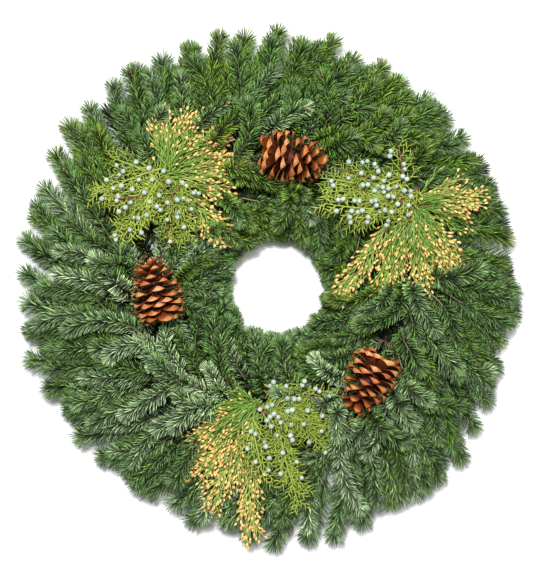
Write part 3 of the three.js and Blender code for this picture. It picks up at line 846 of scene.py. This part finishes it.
def laySpray(heap, form, points, green, golden, ends, forks):
    fine, run = evenCourse(points, 30)
    forward, right, up = courseFrames(fine)
    addTwig(heap, points, (1.5, 1.1, 0.7), 1 if random.random() < 0.4 else 0.5)
    count = int(run / form["station"])
    share = (np.arange(count) + 0.6 + random.uniform(-0.3, 0.3, count)) / count
    at = np.clip((share * 29).astype(int), 0, 29)
    hand = np.where(np.arange(count) % 2 == 0, 1, -1)
    sweep = form["sweep"] * hand + random.normal(0, 7, count)
    headings = tilt(forward[at], sweep)
    headings[:, 2] += random.normal(0.02, 0.12, count)
    headings = unit(headings)
    lengths = mix(form["branch"][0], form["branch"][1], share ** 1.5) * random.uniform(0.8, 1.1, count)
    bends = forward[at] * 0.22 + random.normal(0, 0.05, (count, 3))
    tints = np.clip(green + 0.15 * golden + random.normal(0, 0.08, count), 0, 0.8)
    thick = np.full(count, form["radius"] * 1.15)
    addCords(heap, branchCord, fine[at], headings, bends, lengths, thick, tints, np.full(count, 0.35), 0.3)
    for k in range(form["twiglets"]):
        spot = (k + 0.8) / (form["twiglets"] + 0.4)
        starts = bendTo(fine[at], headings, bends, lengths, spot)
        way = unit(headings + bends * 2 * spot)
        side = np.where((np.arange(count) + k) % 2 == 0, 1, -1)
        aim = tilt(way, form["sweep"] * side * 1.05 + random.normal(0, 9, count))
        aim[:, 2] += random.normal(0.05, 0.16, count)
        aim = unit(aim)
        size = form["twiglet"] * mix(1.1, 0.75, spot) * random.uniform(0.7, 1.15, count)
        tint = np.clip(tints + random.normal(0.08, 0.06, count), 0, 0.8)
        tone = random.uniform(0.45, 0.95, count)
        look = (tint, tone, form["blunt"])
        tips = addCords(heap, twigletCord, starts, aim, way * 0.2, size, thick * 0.87, *look)
        if golden > 0:
            pick = random.random(count) < golden * (0.3 + 0.55 * (share > 0.25))
            ends.append((tips[pick], aim[pick]))
        forks.append(starts)


def layFan(cluster, kind, form):
    heap, ends, forks = Heap(), [], []
    fan = [math.radians(a) for a in cluster[kind]["fan"]]
    for k in range(form["sprays"]):
        share = (k + 0.5) / form["sprays"]
        angle = mix(fan[0], fan[1], share) + float(random.normal(0, 0.08))
        reach = fanReach(cluster[kind]["reach"], share) * (1, 0.72, 0.86)[k % 3]
        start = form["scatter"] * float(random.random()) ** 0.5
        aside = (fan[0] + fan[1]) / 2 + float(random.uniform(-2.3, 2.3))
        root = (cluster["root"][0] + start * math.cos(aside), cluster["root"][1] + start * math.sin(aside))
        lift = (3, 9, 6)[k % 3]
        course = sprayCourse(root, angle, reach - start * 0.8, form["root"], form["tip"] + k % 3, lift)
        golden = fanReach(cluster["golden"], share) * (1.5, 0.35, 1.1)[k % 3] if kind == "cedar" else 0
        laySpray(heap, form, course, float(random.uniform(0.2, 0.6)), golden, ends, forks)
    return heap, ends, np.concatenate(forks)


def berryPlaces(forks):
    # each berry goes to the fork farthest from those before it, and some have a neighbour
    middle = np.mean(forks[:, :2], axis=0)
    off = np.linalg.norm(forks[:, :2] - middle, axis=1)
    forks = forks[off < np.quantile(off, juniperForm["outermost"])]
    chosen = [int(np.argmax(forks[:, 2]))]
    gap = np.full(len(forks), 1e9)
    for k in range(juniperForm["sites"] - 1):
        gap = np.minimum(gap, np.linalg.norm(forks[:, :2] - forks[chosen[-1], :2], axis=1))
        worth = gap + 0.6 * (forks[:, 2] - juniperForm["root"]) + random.normal(0, 1.5, len(forks))
        chosen.append(int(np.argmax(worth)))
    spots = forks[chosen] + [0, 0, juniperForm["berry"] * 0.9]
    twins = spots[random.random(len(spots)) < juniperForm["twins"]]
    aside = random.uniform(0, 2 * math.pi, len(twins))
    apart = juniperForm["twinGap"]
    acrossX, acrossY = apart * np.cos(aside), apart * np.sin(aside)
    shift = np.stack([acrossX, acrossY, random.uniform(-2, 0.5, len(twins))], -1)
    return np.concatenate([spots, twins + shift])


def foliageFinish(name, stops):
    leaf = Finish(name, 0.55)
    lit = leaf.blend(leaf.attribute("tone"), (0.36, 0.38, 0.34), (1.25, 1.27, 1.15))
    leaf.colour(leaf.blend(1.0, leaf.ramp(leaf.attribute("tint"), stops), lit, "MULTIPLY"))
    return leaf.material


wood = (0.2, 0.07, 0.03)
juniperStops = [(0, (0.16, 0.25, 0.025)), (0.8, (0.45, 0.53, 0.08)), (0.9, wood)]
cedarStops = [
    (0, (0.08, 0.22, 0.015)),
    (0.5, (0.19, 0.35, 0.045)),
    (0.8, (0.46, 0.5, 0.13)),
    (0.9, wood),
]
juniperMaterial = foliageFinish("juniperLeaves", juniperStops)
cedarMaterial = foliageFinish("cedarLeaves", cedarStops)


def berryFinish():
    bloom = Finish("juniperBerries", 0.65)
    share = (bloom.noise(160) * 1.6 - 0.3).clamped()
    bloom.colour(bloom.blend(share, (0.17, 0.25, 0.2), (0.56, 0.63, 0.56)))
    return bloom.material


def pollenFinish():
    gold = Finish("cedarPollenCones", 0.6)
    gold.colour(gold.blend(gold.attribute("tone"), (0.6, 0.32, 0.07), (0.88, 0.6, 0.22)))
    return gold.material


berryMaterial = berryFinish()
pollenMaterial = pollenFinish()
berryShape = grainTemplate(10, 7)
pollenShape = grainTemplate(5, 3)

for cluster in clusters:
    name = cluster["name"]
    heap, _, forks = layFan(cluster, "juniper", juniperForm)
    juniper = heap.piece(f"{name}Juniper", juniperMaterial)
    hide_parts(f"juniper_{name}")
    centres = berryPlaces(forks)
    berries = Heap()
    aims = unit(random.normal(0, 1, centres.shape))
    size = juniperForm["berry"]
    layGrains(berries, centres, aims, size, size, berryShape, np.full(len(centres), 0.5))
    berries = berries.piece(f"{name}JuniperBerries", berryMaterial)
    heap, pollen, _ = layFan(cluster, "cedar", cedarForm)
    cedar = heap.piece(f"{name}Cedar", cedarMaterial)
    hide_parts(f"cedar_{name}")
    ends = np.concatenate([p[0] for p in pollen])
    aims = np.concatenate([p[1] for p in pollen])
    grains = Heap()
    thick, long = cedarForm["pollen"]
    spots = ends + aims * 1.5
    layGrains(grains, spots, aims, thick, long / 2, pollenShape, np.full(len(ends), 0.5))
    grains = grains.piece(f"{name}CedarPollenCones", pollenMaterial)
    triangleTotal += sum(len(p.data.polygons) for p in (juniper, berries, cedar, grains))
    print(name, "cluster laid,", len(ends), "pollen cones,", triangleTotal, "triangles so far")


clampRing = {
    "railOffset": 13,  # from the ring's middle, to each side
    "wireRadius": 2,
    "clampWire": 1.5,
    "clampHalf": 15,  # half a clamp's width, to the middle of its wire
    "clampTop": 22.7,
    "clampFloor": 4.7,
    "prongGap": 3.5,
    "bend": 2,
}


def wireAlong(bm, points, radius, sides=6):
    # a round wire swept through points, closed at its ends
    for first, second in zip(points[:-1], points[1:]):
        way = second - first
        turn = Vector((0, 0, 1)).rotation_difference(way).to_matrix().to_4x4()
        place = Matrix.Translation((first + second) / 2) @ turn
        size = {"radius1": radius, "radius2": radius, "depth": way.length, "cap_ends": True}
        bmesh.ops.create_cone(bm, segments=sides, matrix=place, **size)
    for point in points[1:-1]:
        size = {"u_segments": sides, "v_segments": 4, "radius": radius}
        bmesh.ops.create_uvsphere(bm, matrix=Matrix.Translation(point), **size)


def layRing():
    bm = bmesh.new()
    for side in (-1, 1):
        radius = ring["radius"] + side * clampRing["railOffset"]
        wire = clampRing["wireRadius"]
        place = Matrix.Translation((radius, 0, wire)) @ Matrix.Rotation(math.pi / 2, 4, "X")
        start = bmesh.ops.create_circle(bm, segments=8, radius=wire, matrix=place)
        edges = list({e for v in start["verts"] for e in v.link_edges})
        spin = {"cent": (0, 0, 0), "axis": (0, 0, 1), "angle": 2 * math.pi, "steps": 96, "use_merge": True}
        bmesh.ops.spin(bm, geom=start["verts"] + edges, **spin)
    half, top, floor = (clampRing[key] for key in ("clampHalf", "clampTop", "clampFloor"))
    gap, bend = clampRing["prongGap"], clampRing["bend"]
    for bunch in range(ring["bunches"]):
        angle = clampAngle(bunch)
        right = [(half, floor), (half, top - bend), (half - bend, top), (gap, top)]
        corners = [(-across, height) for across, height in reversed(right)] + right
        points = []
        for across, height in corners:
            radius = ring["radius"] + across
            points.append(Vector((radius * math.cos(angle), radius * math.sin(angle), height)))
        wireAlong(bm, points, clampRing["clampWire"])
    bmesh.ops.recalc_face_normals(bm, faces=bm.faces[:])
    bmesh.ops.scale(bm, vec=(mm, mm, mm), verts=bm.verts[:])
    bmesh.ops.translate(bm, vec=(ring["shift"] * mm, 0, 0), verts=bm.verts[:])
    mesh = bpy.data.meshes.new("clampRing")
    bm.to_mesh(mesh)
    bm.free()
    mesh.polygons.foreach_set("use_smooth", np.full(len(mesh.polygons), True))
    mesh.set_sharp_from_angle(angle=math.radians(50))
    return mesh


def enamelFinish():
    enamel = Finish("greenEnamelWire", 0.35, Coat_Weight=0.3)
    worn = (enamel.noise(60) * 2.4 - 1.3).clamped()
    enamel.colour(enamel.blend(worn, (0.03, 0.075, 0.035), (0.06, 0.09, 0.06)))
    enamel.rough(worn * 0.3 + 0.3)
    return enamel.material


enamelMaterial = enamelFinish()
ringMesh = layRing()
ringMesh.materials.append(enamelMaterial)
ringPiece = bpy.data.objects.new("enamelClampRing", ringMesh)
bpy.context.scene.collection.objects.link(ringPiece)
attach(ringPiece, "root")
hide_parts("clamp_ring")
for cone in cones:
    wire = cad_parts[f"cone_wire_{cone['name']}"]
    wire.data.materials.clear()
    wire.data.materials.append(enamelMaterial)
print("clamp ring and wires laid")


# the floor, the lights and the camera, in metres and watts
stage = {
    "floor": (0.93, 0.93, 0.93),
    "floorHalf": 4,
    "daylight": 0.28,
    "cameraHeight": 2.4,
    "focusHeight": 0.035,
    "sensor": 36,
    "viewHeight": 0.7206,
    "aim": (-0.0026, 0.0064),
    "panels": (
        {"name": "keyPanel", "place": (-0.4, 1.15, 3.8), "size": 0.75, "power": 238},
        {"name": "fillPanel", "place": (1.0, 0.4, 2.2), "size": 1.4, "power": 16},
    ),
}


def makeStage():
    bm = bmesh.new()
    bmesh.ops.create_grid(bm, x_segments=1, y_segments=1, size=stage["floorHalf"])
    mesh = bpy.data.meshes.new("floor")
    bm.to_mesh(mesh)
    bm.free()
    floor = bpy.data.objects.new("floor", mesh)
    bpy.context.scene.collection.objects.link(floor)
    paper = Finish("floorPaper", 0.9)
    tone = paper.noise(3)
    paper.colour(paper.blend(tone * 0.02, stage["floor"], (0.9, 0.9, 0.9)))
    mesh.materials.append(paper.material)

    world = bpy.data.worlds.new("studio")
    bpy.context.scene.world = world
    world.use_nodes = True
    world.node_tree.nodes["Background"].inputs["Color"].default_value = (1, 1, 1, 1)
    world.node_tree.nodes["Background"].inputs["Strength"].default_value = stage["daylight"]

    def panel(name, place, size, power):
        light = bpy.data.lights.new(name, "AREA")
        light.shape = "SQUARE"
        light.size = size
        light.energy = power
        lamp = bpy.data.objects.new(name, light)
        lamp.location = place
        aim = Vector((0, 0, 0)) - Vector(place)
        lamp.rotation_euler = aim.to_track_quat("-Z", "Y").to_euler()
        bpy.context.scene.collection.objects.link(lamp)

    for values in stage["panels"]:
        panel(**values)

    lens = bpy.data.cameras.new("camera")
    lens.sensor_fit = "VERTICAL"
    lens.sensor_height = stage["sensor"]
    lens.lens = stage["sensor"] * (stage["cameraHeight"] - stage["focusHeight"]) / stage["viewHeight"]
    camera = bpy.data.objects.new("camera", lens)
    camera.location = (*stage["aim"], stage["cameraHeight"])
    bpy.context.scene.collection.objects.link(camera)
    bpy.context.scene.camera = camera
    bpy.context.scene.view_settings.view_transform = "Standard"


makeStage()
print("stage set")
